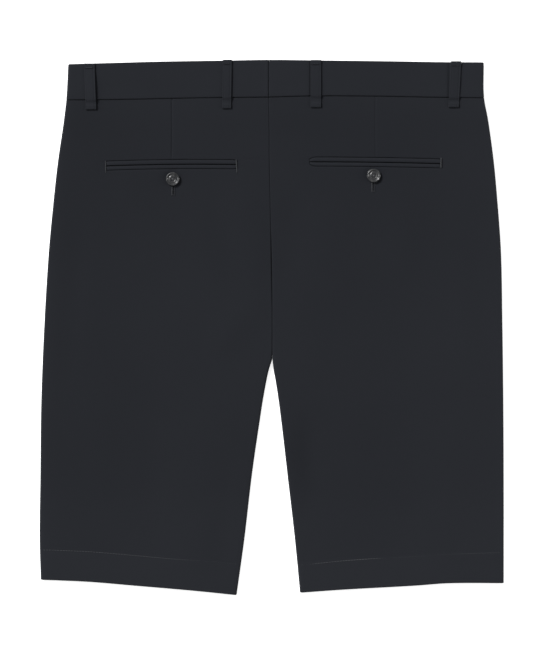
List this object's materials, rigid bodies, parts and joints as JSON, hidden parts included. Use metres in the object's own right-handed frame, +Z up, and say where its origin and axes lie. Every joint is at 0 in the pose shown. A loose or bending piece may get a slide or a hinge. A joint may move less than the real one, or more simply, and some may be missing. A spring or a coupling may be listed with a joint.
{
  "type": "bermuda shorts",
  "caption": "Tailored bermuda shorts in dark suiting, pressed and laid flat on their front, with a looped waistband, buttoned double-welt pockets across the seat and turned-up hems.",
  "frame": {"origin": "on the surface that the garment lies on, under the middle of its outline", "axes": "+X towards the wearer's right, +Y from the hems to the waist, +Z up, out of the back of the garment, which is the side that shows"},
  "size_m": [0.4868, 0.561, 0.0097],
  "materials": {
    "suiting": "fine smooth wool-blend suiting, charcoal navy, matt with a very slight sheen",
    "button": "polished dark grey, horn-like, with a bright rim"
  },
  "bodies": {
    "root": {"back_panel_left": "suiting", "front_panel_left": "suiting", "waistband_left": "suiting", "pocket_welt_upper_left": "suiting", "pocket_welt_lower_left": "suiting", "back_panel_right": "suiting", "front_panel_right": "suiting", "waistband_right": "suiting", "pocket_welt_upper_right": "suiting", "pocket_welt_lower_right": "suiting", "belt_loop_back_far_left": "suiting", "belt_loop_back_near_left": "suiting", "belt_loop_back_near_right": "suiting", "belt_loop_back_far_right": "suiting", "belt_loop_front_left": "suiting", "belt_loop_front_right": "suiting", "fly_underlap": "suiting", "pocket_button_left": "button", "pocket_button_right": "button"}
  },
  "joints": []
}
